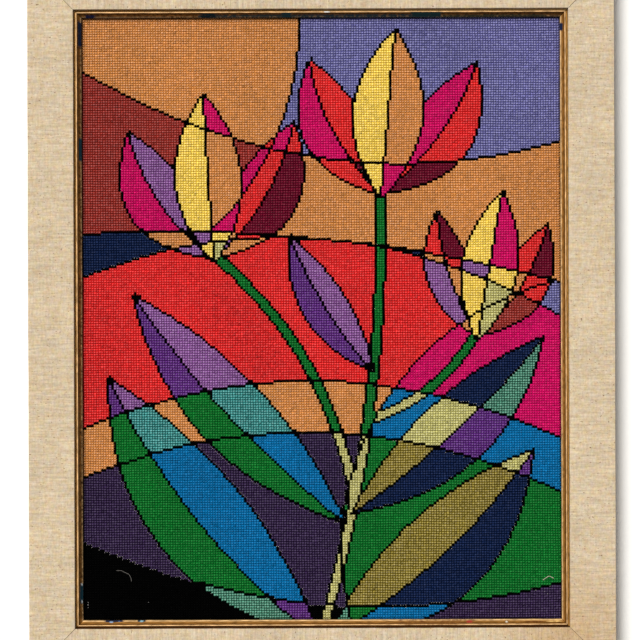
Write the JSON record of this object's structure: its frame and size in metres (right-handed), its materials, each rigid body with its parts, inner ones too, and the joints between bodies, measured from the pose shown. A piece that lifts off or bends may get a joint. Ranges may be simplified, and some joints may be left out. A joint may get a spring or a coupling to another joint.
{
  "type": "needlepoint canvas panel in a linen and gilt frame",
  "caption": "Tent-stitched needlepoint canvas panel, held flat behind a beaded gilt fillet in a linen-covered wooden liner frame.",
  "frame": {"origin": "middle of the back, level with the backs of the liner rails", "axes": "+X to the picture's right, +Y to its top, +Z out of its face"},
  "size_m": [0.4876, 0.5908, 0.0183],
  "materials": {
    "wool": "dyed wool tent stitch in many colours on cotton canvas, matt",
    "gilding": "antiqued gilding over a dark ground, soft satin",
    "linen": "undyed slubby linen, matt",
    "pine": "planed and left bare"
  },
  "bodies": {
    "root": {"needlepoint_canvas": "wool", "fillet_top": "gilding", "fillet_left": "gilding", "fillet_bottom": "gilding", "fillet_right": "gilding", "linen_top": "linen", "linen_left": "linen", "linen_bottom": "linen", "linen_right": "linen", "rail_top": "pine", "rail_left": "pine", "rail_bottom": "pine", "rail_right": "pine"}
  },
  "joints": []
}
